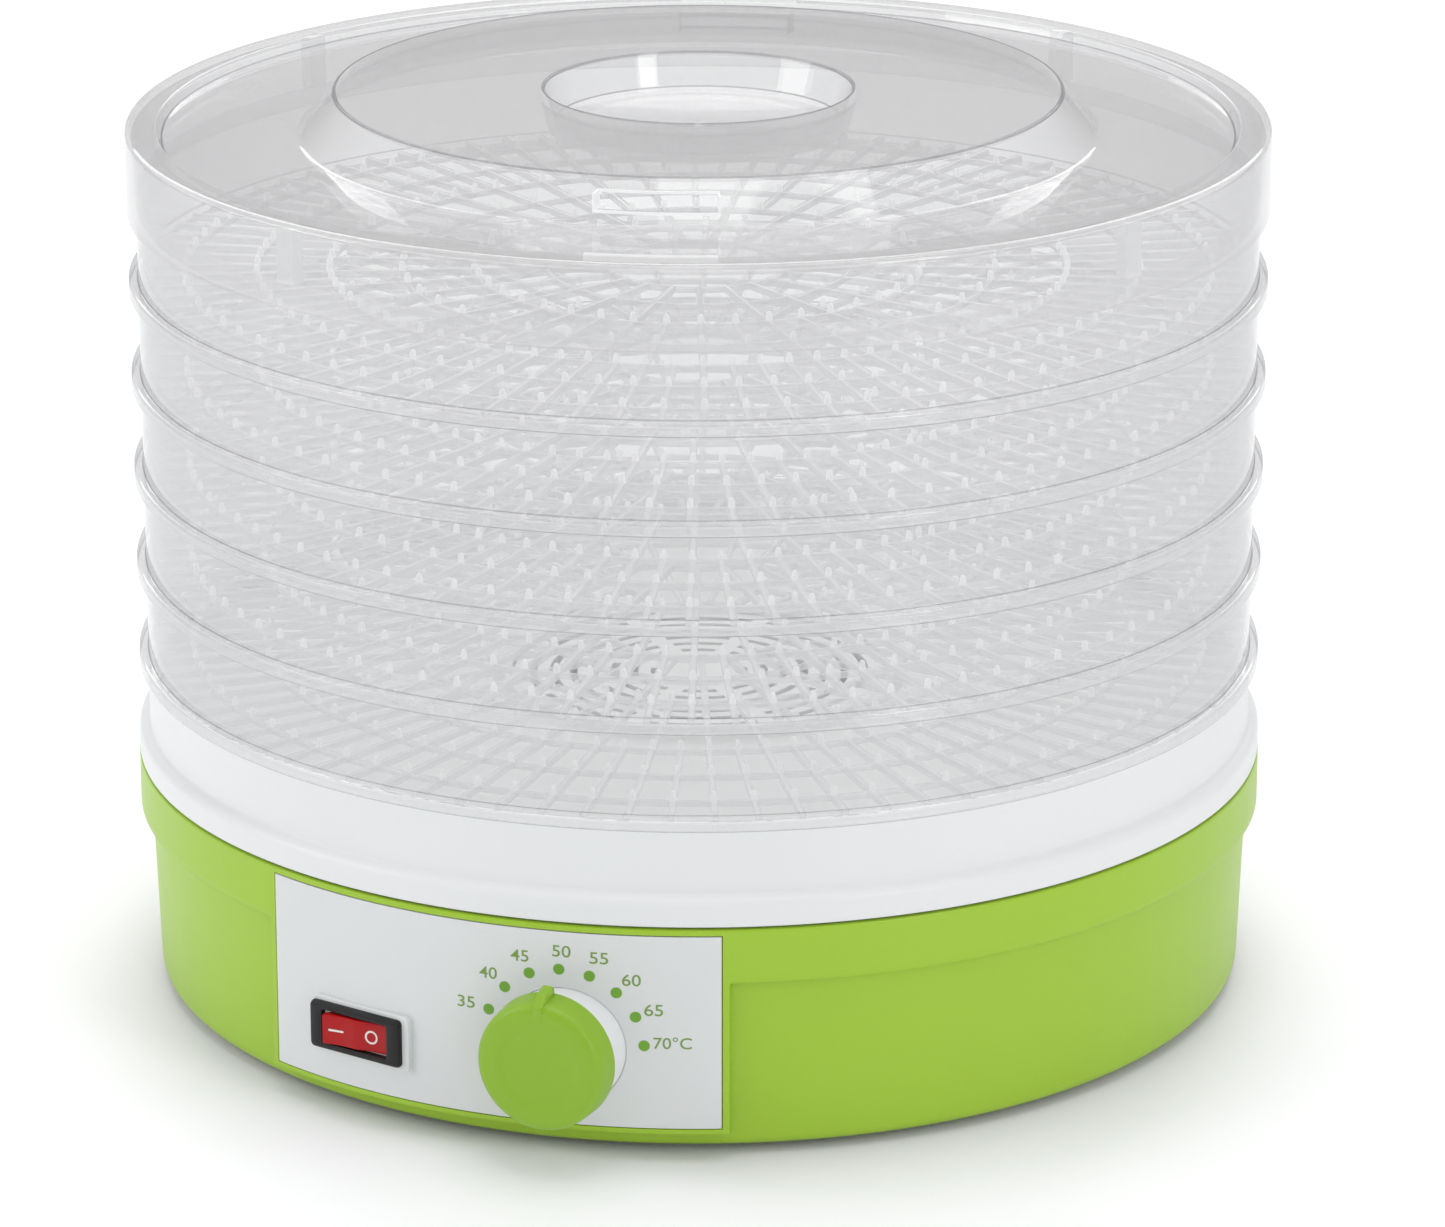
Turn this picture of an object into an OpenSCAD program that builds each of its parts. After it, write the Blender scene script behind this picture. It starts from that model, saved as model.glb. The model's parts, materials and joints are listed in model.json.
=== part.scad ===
// Food dehydrator: a fan and heater base, five stacked see-through trays and a lid.
// Millimetres, +Z up. The origin is on the table, on the axis of the stack.
// The front, with the control panel, faces -Y.

/* [Stack] */
// Outside diameter of the tray flanges and of the lid skirt
stack_d = 330; // [316:2:344]
// Height that each tray adds to the stack
tray_pitch = 28; // [26:1:32]
// Wall thickness of trays and lid
clear_wall = 1.6; // [1.4:0.1:1.8]
// Ribs in the outer part of a tray floor
rib_count = 84; // [72:4:92]
// Width and height of a floor rib
rib_w = 2.2; // [1.8:0.1:2.6]
// Distance between the rings of a tray floor
ring_pitch = 21; // [20:0.5:21.5]
// Diameter of the air hole in the middle of a tray
hub_d = 52; // [44:2:56]

/* [Lid] */
// Height of the lid from the bottom of its skirt to its rim
lid_skirt_h = 24; // [22:1:28]
// Height of the raised middle above the rim
crown_h = 9; // [7:1:11]
// Diameter of the flat top of the raised middle
crown_d = 210; // [200:2:220]
// Diameter of the finger well in the middle
well_d = 89; // [80:1:96]
// Width of each vent slot
vent_w = 34; // [28:1:40]
// Angle of the lid about the stack
lid_turn = 23.5; // [0:0.5:45]

/* [Base] */
// Height that the feet hold the housing off the table
foot_h = 2.5; // [2:0.5:4]
// Top edge of the lower housing
shell_top = 68.5; // [66:0.5:72]
// Lower edge of the wide band round the top of the lower housing
band_z = 52.5; // [50:0.5:54]
// Wall of the lower housing
shell_wall = 2.5; // [2.2:0.1:2.8]
// Rim of the deck, where the first tray sits
deck_rim = 98.5; // [96:0.5:102]
// Diameter of the air duct, inside
duct_d = 102; // [100:1:106]

/* [Controls] */
// Half of the angle that the control panel covers
panel_half = 24; // [22:1:26]
// Height of the control panel
panel_h = 56.5; // [54:0.5:57]
// Side position of the knob
dial_x = 25.1; // [20:0.2:28]
// Height of the knob axis
dial_z = 32.6; // [30:0.2:34]
// Diameter of the knob at its back edge
knob_d = 38; // [34:1:40]
// Angle of the switch round the front, to the left
switch_angle = 13.1; // [12:0.1:15]
// Height of the middle of the switch
switch_z = 27; // [24:0.5:30]
// Length of the switch bezel
switch_w = 31.4; // [29:0.2:32]
// Height of the switch bezel
switch_h = 14; // [12.6:0.2:15]

/* [Hidden] */
$fn = 96;

// Colours
green = [0.56, 0.72, 0.24];
white = [0.90, 0.90, 0.89];
clear = [0.80, 0.82, 0.84, 0.45];
steel = [0.72, 0.73, 0.75];

// Stack
stack_r = stack_d / 2;
wall_out = stack_r - 2.7;
wall_in = wall_out - clear_wall;
skirt_gap = 0.4;
flange_t = 2;
tray_turns = [2.0, -0.3, -0.5, -0.4, 1.1];
rib_pitch = 360 / rib_count;
outer_ring = stack_r - 16;
seat_z = function(i) deck_rim + (i - 1) * tray_pitch;
stack_top = seat_z(6);

// Lid
lid_gap = 0.9;
skirt_in = wall_out + lid_gap;
skirt_low = stack_top - 6.5;
rim_z = skirt_low + lid_skirt_h;
lid_t = 2;
rim_w = 9;
floor_drop = 3;
lid_floor = rim_z - floor_drop;
crown_z = rim_z + crown_h;
crown_r = crown_d / 2;
cone_foot = crown_r + 10.5;
well_r = well_d / 2;
well_z = crown_z - 11.5;
well_dish = 1.4;
key_w = 6.6;

// Base
floor_t = 2.5;
band_r = stack_r + 0.7;
body_top_r = stack_r - 2.6;
body_low_r = stack_r - 4.2;
panel_low = shell_top - 2 - panel_h;
boss_half = panel_half + 0.9;
boss_low = panel_low - 2.2;
panel_t = 1.2;
panel_r = band_r + 0.1;
panel_gap = 0.2;
panel_seat = panel_r - panel_t;
spigot_h = 4;
deck_floor = deck_rim - 12.5;
deck_t = 2.5;
duct_r = duct_d / 2;
duct_t = 1;
grille_r = duct_r + 4;
grille_slot = 2.4;
post_r = 5.5;
post_ring = 138;
post_angles = [35, 145, 215, 325];
post_meet = 40;
foot_ring = 132;
foot_r = 9;
foot_angles = [45, 135, 225, 315];
inlet_z = 26;

// Fan and heater, by height
motor_low = 22;
core_h = 16;
motor_mid = motor_low + core_h;
plate_z = 46;
plate_t = 1.5;
duct_low = plate_z + plate_t;
duct_flange = 0.8;
fan_low = 52;
fan_h = 12;
ledge_z = 67;
ledge_t = 1;
heater_z = ledge_z + ledge_t;
heater_h = 12;
coil_radii = [13, 20, 27, 34, 41];
coil_r = 1.7;
coil_z = heater_z + heater_h - 4;
shaft_r = 2;
arm_ring = 57;
arm_angles = [90, 210, 330];

// Dial and switch
panel_y = function(x) -sqrt(panel_r * panel_r - x * x);
dial_y = panel_y(dial_x);
boss_front = dial_y - 6.4;
boss_r = 17.5;
knob_back = boss_front - 1;
knob_depth = 10;
knob_front = knob_back - knob_depth;
knob_r = knob_d / 2;
pointer_r = knob_r + 2.8;
pointer_w = 3;
bush_r = 5;
stem_r = 3;
thermostat_back = dial_y + 30;
bezel_t = 1.8;
switch_pad = [33.4, 16.4];
pad_shift = 1.2;
pad_t = 0.8;
switch_body = [28, 10.8];
switch_depth = 19;
rocker = [20.8, 8.8];
rocker_tilt = 8;
rocker_slot = rocker + [1.6, 0.8];
rocker_pivot = 1.5;
bulb_r = 3;
bulb_angle = -55;
bulb_ring = duct_r + duct_t + 4.5;

// ---- helpers ----

// Ring between two radii and two heights
module ring(r_in, r_out, z0, z1) {
    rotate_extrude() translate([r_in, z0]) square([r_out - r_in, z1 - z0]);
}

// Part of a ring, centred on the front
module front_sector(r_in, r_out, z0, z1, half) {
    rotate([0, 0, -90 - half]) rotate_extrude(angle = 2 * half)
        translate([r_in, z0]) square([r_out - r_in, z1 - z0]);
}

// Puts its children on a circle, at each of the angles
module around(angles, r) {
    for (a = angles) rotate([0, 0, a]) translate([r, 0, 0]) children();
}

// Frame of the dial: +Z points out of the front, the origin is on the knob axis at depth y
module at_dial(y) {
    translate([dial_x, y, dial_z]) rotate([90, 0, 0]) children();
}

// Frame of the switch: +Z points out of the front, the origin is on the panel surface
module at_switch() {
    rotate([0, 0, -switch_angle]) translate([0, -panel_r, switch_z]) rotate([90, 0, 0]) children();
}

// Points of an arc about a centre
function arc(c, r, a0, a1, n = 5) =
    [for (i = [0:n]) let (a = a0 + (a1 - a0) * i / n) [c[0] + r * cos(a), c[1] + r * sin(a)]];

// Box given by its middle in X and Y and its lower face
module block(size, z = 0) {
    translate([-size[0] / 2, -size[1] / 2, z]) cube(size);
}

// Rounded plate, corners of radius r
module plate(size, r, t) {
    x = size[0] / 2 - r;
    y = size[1] / 2 - r;
    linear_extrude(t) union() {
        square([size[0], size[1] - 2 * r], center = true);
        square([size[0] - 2 * r, size[1]], center = true);
        for (sx = [-1, 1], sy = [-1, 1]) translate([sx * x, sy * y]) circle(r, $fn = 32);
    }
}

// Pan-head screw: head down, shank up from z = 0
module screw(shank_r, shank_h, head_r, head_h) {
    rotate_extrude() polygon(concat(
        [[0, shank_h], [0, -head_h], [head_r * 0.6, -head_h]],
        [[head_r, -head_h * 0.55], [head_r, 0], [shank_r, 0], [shank_r, shank_h]]
    ));
}

// ---- base ----

module shell_solid() {
    rotate_extrude() polygon(concat(
        [[0, foot_h], [body_low_r - 3, foot_h]],
        arc([body_low_r - 3, foot_h + 3], 3, -90, 0, 4),
        [[body_top_r, band_z - 0.6], [band_r - 0.5, band_z]],
        [[band_r, band_z + 0.5], [band_r, shell_top], [0, shell_top]]
    ));
    front_sector(150, band_r, boss_low, shell_top - 1, boss_half);
}

module shell_cavity() {
    rotate_extrude() polygon([
        [0, foot_h + floor_t], [body_low_r - 5.5, foot_h + floor_t],
        [body_low_r - shell_wall, foot_h + floor_t + 3],
        [body_top_r - shell_wall, band_z - 0.6], [band_r - shell_wall, band_z + 2.5],
        [band_r - shell_wall, shell_top + 1], [0, shell_top + 1]
    ]);
    front_sector(140, panel_seat - shell_wall, boss_low + 2.4, shell_top - 3, boss_half - 0.9);
}

// Air slots in the bottom, in rings of short arcs
module intake_slots() {
    for (r = [20:8:44], a = [0:60:300])
        rotate([0, 0, a + 4]) rotate_extrude(angle = 52)
            translate([r, foot_h - 1]) square([4, floor_t + 2]);
}

module base_shell() color(green) {
    difference() {
        union() {
            difference() {
                shell_solid();
                shell_cavity();
            }
            around(post_angles, post_ring)
                translate([0, 0, foot_h]) cylinder(r = post_r, h = post_meet - foot_h);
            around(arm_angles, arm_ring)
                translate([0, 0, foot_h]) cylinder(r = 4, h = plate_z - foot_h);
            rotate([0, 0, 90]) translate([body_low_r - 8, 0, inlet_z]) rotate([0, 90, 0])
                cylinder(r = 9, h = 7);
        }
        front_sector(panel_seat, band_r + 5, panel_low - panel_gap, shell_top - 2 + panel_gap,
            panel_half + 0.1);
        intake_slots();
        around(post_angles, post_ring) {
            translate([0, 0, foot_h - 1]) cylinder(r = 4.2, h = 28);
            translate([0, 0, foot_h]) cylinder(r = 2.2, h = post_meet);
        }
        around(arm_angles, arm_ring)
            translate([0, 0, plate_z - 12]) cylinder(r = 1.5, h = 13);
        around(foot_angles, foot_ring) {
            translate([0, 0, foot_h - 1]) cylinder(r = foot_r + 0.2, h = 2);
            translate([0, 0, foot_h - 1]) cylinder(r = 3, h = floor_t + 3);
        }
        translate([0, stack_r - 20, inlet_z]) rotate([-90, 0, 0]) cylinder(r = 5.5, h = 30);
        at_switch() block([switch_body[0] + 0.6, switch_body[1] + 0.6, 40], -36);
        at_dial(dial_y + 12) cylinder(r = boss_r + 0.4, h = 20);
    }
}

module base_deck() color(white) {
    lip = stack_r + 0.6;
    under = deck_floor - deck_t;
    difference() {
        union() {
            rotate_extrude() polygon(concat(
                [[duct_r + 1.5, under], [wall_in - 1.9, under], [wall_in - 1.9, under - 4]],
                [[wall_in - 0.2, under - 7], [wall_in - 0.2, shell_top - spigot_h]],
                [[wall_out + 0.6, shell_top - spigot_h], [wall_out + 0.6, shell_top]],
                [[lip - 0.3, shell_top], [lip, shell_top + 0.3], [lip, shell_top + 6]],
                arc([lip - 2.6, shell_top + 6], 2.6, 0, 70, 4),
                [[wall_out + 0.5, shell_top + 9.3], [wall_out, shell_top + 10.3]],
                [[wall_out, deck_rim], [wall_in, deck_rim], [wall_in, deck_floor + 1]],
                [[wall_in - 1, deck_floor], [grille_r + 4, deck_floor]],
                [[grille_r + 2, deck_floor + 3], [grille_r + 0.3, deck_floor + 3]],
                [[grille_r + 0.3, deck_floor - 1], [duct_r + 1.5, deck_floor - 1]]
            ));
            around(post_angles, post_ring)
                translate([0, 0, post_meet]) cylinder(r = post_r - 1, h = under - post_meet + 1);
        }
        around(post_angles, post_ring)
            translate([0, 0, post_meet - 1]) cylinder(r = 1.8, h = 16);
    }
}

// Round grille that keeps food out of the heater
module outlet_grille() color(white) {
    difference() {
        ring(0, grille_r, deck_floor - 1, deck_floor + 1.4);
        for (r = [12:6:48], a = [0:45:315])
            rotate([0, 0, a + 45 / (r / 3)]) rotate_extrude(angle = 45 - 90 / (r / 3))
                translate([r, deck_floor - 2]) square([grille_slot, 5]);
    }
}

module rubber_feet() color([0.12, 0.12, 0.12]) {
    around(foot_angles, foot_ring) {
        cylinder(r = foot_r, h = foot_h + 1);
        translate([0, 0, foot_h]) cylinder(r = 2.8, h = floor_t + 1);
    }
}

module housing_screws() color(steel) {
    around(post_angles, post_ring) translate([0, 0, foot_h + 27]) screw(1.8, 22, 3.6, 2.6);
}

// Bush in the back wall that the mains lead goes through
module cord_gland() color([0.10, 0.10, 0.10]) {
    y0 = body_low_r - 9.8;
    difference() {
        translate([0, y0, inlet_z]) rotate([-90, 0, 0]) rotate_extrude() polygon([
            [0, 0], [7.6, 0], [7.6, 1.8], [5.3, 1.8], [5.3, 10.9], [7.4, 10.9], [6.6, 14], [0, 14]
        ]);
        translate([0, y0 - 1, inlet_z]) rotate([-90, 0, 0]) cylinder(r = 3.3, h = 20);
    }
}

module terminal_block() color([0.93, 0.92, 0.88]) {
    translate([0, 112, foot_h + floor_t]) difference() {
        block([36, 16, 13]);
        for (x = [-12, 0, 12]) {
            translate([x, 0, 6.5]) rotate([90, 0, 0]) cylinder(r = 2.2, h = 20, center = true);
            translate([x, -4, 6]) cylinder(r = 2, h = 8);
            translate([x, 4, 6]) cylinder(r = 2, h = 8);
        }
    }
}

// ---- control panel ----

module control_panel() color([0.85, 0.86, 0.86]) {
    difference() {
        union() {
            front_sector(panel_seat, panel_r, panel_low, shell_top - 2, panel_half);
            intersection() {
                at_switch() translate([pad_shift, 0, -panel_t]) plate(switch_pad, 1.5, panel_t + pad_t);
                ring(panel_seat, panel_r + 4, 0, shell_top);
            }
        }
        at_switch() block([switch_body[0] + 0.4, switch_body[1] + 0.4, 30], -20);
        at_dial(dial_y + 12) cylinder(r = boss_r + 0.1, h = 30);
    }
}

// Flat round boss behind the knob, with the bush of the thermostat through it
module dial_boss() color([0.92, 0.93, 0.93]) {
    at_dial(dial_y + 10) difference() {
        cylinder(r = boss_r, h = dial_y + 10 - boss_front);
        cylinder(r = bush_r + 0.2, h = 40);
        translate([0, 0, -1]) cylinder(r = boss_r - 2, h = dial_y + 9 - boss_front);
    }
}

module thermostat_body() color([0.78, 0.76, 0.70]) {
    difference() {
        union() {
            at_dial(thermostat_back) block([26, 34, 20]);
            at_dial(thermostat_back - 20) cylinder(r = bush_r, h = thermostat_back - 20 - boss_front + 2.4);
        }
        at_dial(thermostat_back - 8) cylinder(r = stem_r + 0.05, h = 60);
    }
}

module thermostat_nut() color(steel) {
    at_dial(boss_front + 0.8) translate([0, 0, 0.8]) difference() {
        cylinder(r = 7.5, h = 2.2, $fn = 6);
        translate([0, 0, -1]) cylinder(r = bush_r, h = 6);
    }
}

// Stem that turns with the knob
module thermostat_shaft() color(steel) {
    at_dial(thermostat_back - 8) cylinder(r = stem_r, h = thermostat_back - 8 - knob_front - 3);
}

module temperature_knob() color(green) {
    top = knob_depth;
    at_dial(knob_back) difference() {
        union() {
            rotate_extrude() polygon(concat(
                [[0, 0], [knob_r, 0], [knob_r - 0.7, top - 3.5]],
                arc([knob_r - 4.2, top - 3.5], 3.5, 0, 90, 6),
                [[knob_r * 0.55, top - 0.5], [0, top - 0.7]]
            ));
            pointer();
        }
        translate([0, 0, -1]) cylinder(r = knob_r - 2.4, h = 5);
        translate([0, 0, -1]) cylinder(r = stem_r, h = knob_depth - 2);
    }
}

// Fin at the edge of the knob that shows the set temperature
module pointer() {
    rotate([90, 0, 90]) translate([0, 0, -pointer_w / 2]) linear_extrude(pointer_w) polygon([
        [knob_r - 3, 0.8], [pointer_r - 1.2, 0.8], [pointer_r, 2.2], [pointer_r - 1.2, 6.6],
        [knob_r - 1.2, 9.4], [knob_r - 4, 9.4]
    ]);
}

// Sensing bulb on the duct and the fine tube that joins it to the thermostat
module thermostat_bulb() color([0.80, 0.50, 0.32]) {
    tube_r = 1;
    x = bulb_ring * cos(bulb_angle);
    y_end = bulb_ring * sin(bulb_angle);
    y_bend = -76;
    z_low = dial_z + 12;
    z_high = 58;
    translate([x, thermostat_back, z_low]) rotate([-90, 0, 0])
        cylinder(r = tube_r, h = y_bend - thermostat_back, $fn = 24);
    translate([x, y_bend, z_low]) sphere(tube_r, $fn = 24);
    translate([x, y_bend, z_low]) cylinder(r = tube_r, h = z_high - z_low, $fn = 24);
    translate([x, y_bend, z_high]) sphere(tube_r, $fn = 24);
    translate([x, y_bend, z_high]) rotate([-90, 0, 0])
        cylinder(r = tube_r, h = y_end - y_bend, $fn = 24);
    translate([x, y_end, z_high - 3]) cylinder(r = bulb_r, h = 22, $fn = 32);
}

// Spring clip that holds the bulb against the duct
module bulb_clip() color(steel) {
    difference() {
        rotate([0, 0, bulb_angle]) translate([bulb_ring, 0, 66]) {
            cylinder(r = bulb_r + 0.8, h = 6, $fn = 32);
            translate([-6, -3, 0]) cube([4, 6, 6]);
        }
        rotate([0, 0, bulb_angle]) translate([bulb_ring, 0, 60]) cylinder(r = bulb_r, h = 20, $fn = 32);
        cylinder(r = duct_r + duct_t, h = 90);
    }
}

module switch_housing() color([0.07, 0.07, 0.07]) {
    at_switch() difference() {
        union() {
            translate([0, 0, pad_t]) difference() {
                plate([switch_w, switch_h], 1.4, bezel_t);
                translate([0, 0, -1]) linear_extrude(bezel_t + 2) square(rocker_slot, center = true);
            }
            difference() {
                block([switch_body[0], switch_body[1], switch_depth + pad_t], -switch_depth);
                block([rocker_slot[0], rocker_slot[1], 11], -10);
            }
        }
        translate([0, 0, -rocker_pivot]) rotate([90, 0, 0]) cylinder(r = 1.2, h = 20, center = true);
    }
}

// Rocker with its two dished halves, resting with the right half pressed in
module switch_rocker() color([0.75, 0.06, 0.05]) {
    w = rocker[0] / 2;
    h = rocker[1];
    at_switch() translate([0, 0, -rocker_pivot]) difference() {
        rotate([0, rocker_tilt, 0]) rotate([90, 0, 0]) translate([0, 0, -h / 2]) linear_extrude(h) polygon(concat(
            [[-w, 2.8]], [[-4, -3.5], [4, -3.5]], [[w, 2.8]],
            arc([w * 0.55, 15.2], 11.4, 283, 257, 6), [[0, 4.4]], arc([-w * 0.55, 15.2], 11.4, 283, 257, 6)
        ));
        rotate([90, 0, 0]) cylinder(r = 1.25, h = 20, center = true);
    }
}

module switch_pins() color(steel) {
    at_switch() translate([0, 0, -rocker_pivot]) rotate([90, 0, 0])
        cylinder(r = 1.2, h = switch_body[1] - 0.1, center = true);
}

module switch_terminals() color([0.85, 0.80, 0.55]) {
    at_switch() for (x = [-9, 0, 9])
        translate([x, 0, 0]) block([0.8, 6.3, 9], -switch_depth - 9);
}

// ---- fan and heater ----

module motor_core() color([0.45, 0.45, 0.47]) {
    difference() {
        translate([-30, -22, motor_low]) cube([60, 60, core_h]);
        translate([0, 0, motor_low - 1]) cylinder(r = 13, h = core_h + 2);
        translate([-19, 18, motor_low - 1]) cube([38, 11, core_h + 2]);
        for (x = [-26, 26]) translate([x, 0, motor_low - 1]) cylinder(r = 1.8, h = core_h + 2);
    }
}

module motor_winding() color([0.76, 0.42, 0.22]) {
    difference() {
        translate([-17, 19.5, motor_low - 9]) cube([34, 28, core_h + 16]);
        translate([-18, 29 - 0.2, motor_low - 0.2]) cube([36, 9.4, core_h + 0.4]);
    }
}

module motor_rotor() color([0.60, 0.60, 0.62]) {
    difference() {
        translate([0, 0, motor_low]) cylinder(r = 12.5, h = core_h);
        translate([0, 0, motor_low - 1]) cylinder(r = shaft_r, h = core_h + 2);
    }
}

module motor_shaft() color(steel) {
    translate([0, 0, 13]) cylinder(r = shaft_r, h = ledge_z - 12.6);
}

// Strap over the core with a sleeve bearing in it; dir is 1 above the core and -1 below
module bearing_bracket(dir) {
    face = dir > 0 ? motor_mid : motor_low;
    translate([0, 0, face]) mirror([0, 0, dir > 0 ? 0 : 1]) difference() {
        union() {
            translate([-30, -7, 6.4]) cube([60, 14, 1.6]);
            for (x = [-30, 28.4]) translate([x, -7, 1.4]) cube([1.6, 14, 6]);
            for (x = [-30, 21]) translate([x, -7, 0]) cube([9, 14, 1.6]);
            translate([0, 0, 2]) cylinder(r = 6, h = 6);
        }
        translate([0, 0, -1]) cylinder(r = shaft_r + 0.04, h = 12);
        for (x = [-26, 26]) translate([x, 0, -1]) cylinder(r = 1.8, h = 12);
    }
}

module upper_bearing_bracket() color(steel) bearing_bracket(1);
module lower_bearing_bracket() color(steel) bearing_bracket(-1);

module motor_screws() color(steel) {
    for (x = [-26, 26]) translate([x, 0, motor_low - 8]) {
        screw(1.7, plate_z + plate_t + 2.6 - motor_low + 8, 3.2, 2);
        translate([0, 0, plate_z + plate_t - motor_low + 8]) difference() {
            cylinder(r = 3.2, h = 2.2, $fn = 6);
            cylinder(r = 1.7, h = 3);
        }
    }
}

// Pressed plate with three arms that carries the motor under the duct
module motor_plate() color(steel) {
    difference() {
        union() {
            translate([0, 0, plate_z]) cylinder(r = 34, h = plate_t);
            around(arm_angles, 0) translate([0, -6, plate_z]) cube([arm_ring, 12, plate_t]);
            around(arm_angles, arm_ring) translate([0, 0, plate_z]) cylinder(r = 6, h = plate_t);
        }
        translate([0, 0, plate_z - 1]) cylinder(r = 8, h = 5);
        for (x = [-26, 26]) translate([x, 0, plate_z - 1]) cylinder(r = 1.8, h = 5);
        around(arm_angles, arm_ring) translate([0, 0, plate_z - 1]) cylinder(r = 1.8, h = 5);
        around([30, 150, 270], 20) translate([0, 0, plate_z - 1]) cylinder(r = 6, h = 5);
    }
}

module plate_screws() color(steel) {
    around(arm_angles, arm_ring)
        translate([0, 0, duct_low + duct_flange]) mirror([0, 0, 1]) screw(1.5, 11.5, 3, 1.8);
}

module air_duct() color([0.80, 0.81, 0.83]) {
    difference() {
        union() {
            ring(duct_r, duct_r + duct_t, duct_low, deck_floor - deck_t - 0.5);
            ring(duct_r, arm_ring + 5, duct_low, duct_low + duct_flange);
            ring(duct_r - 2.5, duct_r + duct_t, ledge_z, ledge_z + ledge_t);
        }
        around(arm_angles, arm_ring) translate([0, 0, duct_low - 1]) cylinder(r = 1.8, h = 4);
    }
}

// Axial fan: five pitched blades on a hub
module fan_impeller() color([0.25, 0.25, 0.27]) {
    difference() {
        union() {
            translate([0, 0, fan_low]) cylinder(r = 11, h = fan_h);
            for (a = [0:72:288]) rotate([0, 0, a]) intersection() {
                translate([0, 0, fan_low + fan_h / 2]) rotate([28, 0, 0])
                    translate([9, -12, -0.8]) cube([40, 24, 1.6]);
                ring(9, 47, fan_low, fan_low + fan_h);
            }
        }
        translate([0, 0, fan_low - 1]) cylinder(r = shaft_r, h = fan_h + 2);
    }
}

module fan_nut() color(steel) {
    translate([0, 0, fan_low + fan_h]) difference() {
        cylinder(r = 4, h = 2.8, $fn = 6);
        translate([0, 0, -1]) cylinder(r = shaft_r, h = 5);
    }
}

// Two crossed insulating cards with a notch for each turn of the heating wire
module heater_frame() color([0.72, 0.66, 0.52]) {
    difference() {
        for (a = [0, 90]) rotate([0, 0, a]) block([2 * duct_r - 1, 1.2, heater_h], heater_z);
        for (r = coil_radii) ring(r - coil_r - 0.1, r + coil_r + 0.1, coil_z - coil_r, coil_z + 6);
    }
}

// Coiled heating wire, as the outside of its coil, laid in rings
module heater_coil() color([0.55, 0.52, 0.50]) {
    for (r = coil_radii) translate([0, 0, coil_z])
        rotate_extrude() translate([r, 0]) circle(coil_r, $fn = 32);
}

module thermal_fuse() color([0.85, 0.84, 0.80]) {
    rotate([0, 0, 60]) translate([duct_r + duct_t + 2.05, 0, 62]) cylinder(r = 2, h = 12, $fn = 32);
}

// ---- trays and lid ----

// Radius at which floor rib number i starts: every fourth reaches the hub
function rib_start(i) =
    i % 4 == 0 ? hub_d / 2 : i % 2 == 0 ? outer_ring - 4 * ring_pitch : outer_ring - 2 * ring_pitch;

module tray_floor(turn) {
    linear_extrude(rib_w) union() {
        for (i = [0:rib_count - 1]) rotate(i * rib_pitch + turn)
            translate([rib_start(i), -rib_w / 2]) square([wall_in + 0.8 - rib_start(i), rib_w]);
        for (k = [0:5]) ring_2d(outer_ring - k * ring_pitch);
        ring_2d(hub_d / 2);
    }
}

module ring_2d(r) {
    difference() {
        circle(r + rib_w / 2);
        circle(r - rib_w / 2);
    }
}

module tray(i) color(clear) {
    translate([0, 0, seat_z(i)]) {
        rotate_extrude() polygon([
            [wall_in, 0], [wall_out + skirt_gap, 0], [wall_out + skirt_gap, -2], [stack_r, -2],
            [stack_r, flange_t - 0.7], [stack_r - 0.6, flange_t], [wall_out, flange_t],
            [wall_out, tray_pitch], [wall_in, tray_pitch]
        ]);
        tray_floor(tray_turns[i - 1]);
    }
}

// Outline of the lid from the skirt to the middle of the well, one side of the sheet
function lid_outline() = concat(
    [[stack_r, skirt_low]], arc([stack_r - 2, rim_z - 2], 2, 0, 90, 4),
    [[stack_r - rim_w, rim_z], [stack_r - rim_w - 1.5, lid_floor], [cone_foot, lid_floor]],
    [[crown_r, crown_z], [well_r, crown_z], [well_r - 3, well_z + well_dish], [0, well_z]]
);

function lid_underside() = [
    [0, well_z - lid_t], [well_r - 1.5, well_z + well_dish - lid_t], [well_r + 1.6, crown_z - lid_t],
    [crown_r - 0.8, crown_z - lid_t], [cone_foot - 0.8, lid_floor - lid_t],
    [stack_r - rim_w + 0.2, lid_floor - lid_t], [stack_r - rim_w + 1.6, rim_z - lid_t],
    [skirt_in, rim_z - lid_t], [skirt_in, skirt_low]
];

module lid() color(clear) {
    difference() {
        union() {
            rotate_extrude() polygon(concat(lid_outline(), lid_underside()));
            // Keys inside the skirt that rest on the rim of the top tray
            for (a = [45:90:315]) rotate([0, 0, a + lid_turn - 90])
                translate([wall_in - 1.2, -key_w / 2, stack_top])
                    cube([skirt_in - wall_in + 1.7, key_w, rim_z - lid_t / 2 - stack_top]);
        }
        for (a = [0, 180]) rotate([0, 0, a + lid_turn - 7.5])
            translate([-vent_w / 2, -cone_foot - 2, lid_floor + 3.5]) cube([vent_w, 20, 4.5]);
    }
}

base_shell();
base_deck();
outlet_grille();
control_panel();
dial_boss();
temperature_knob();
thermostat_shaft();
thermostat_body();
thermostat_nut();
thermostat_bulb();
bulb_clip();
switch_housing();
switch_rocker();
switch_pins();
switch_terminals();
motor_core();
motor_winding();
motor_rotor();
motor_shaft();
upper_bearing_bracket();
lower_bearing_bracket();
motor_screws();
motor_plate();
plate_screws();
fan_impeller();
fan_nut();
air_duct();
heater_frame();
heater_coil();
thermal_fuse();
terminal_block();
cord_gland();
rubber_feet();
housing_screws();
tray(1);  // tray_1
tray(2);  // tray_2
tray(3);  // tray_3
tray(4);  // tray_4
tray(5);  // tray_5
lid();
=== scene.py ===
import json
import math

import bmesh
import bpy
from mathutils import Matrix, Vector
from mathutils.bvhtree import BVHTree


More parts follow.
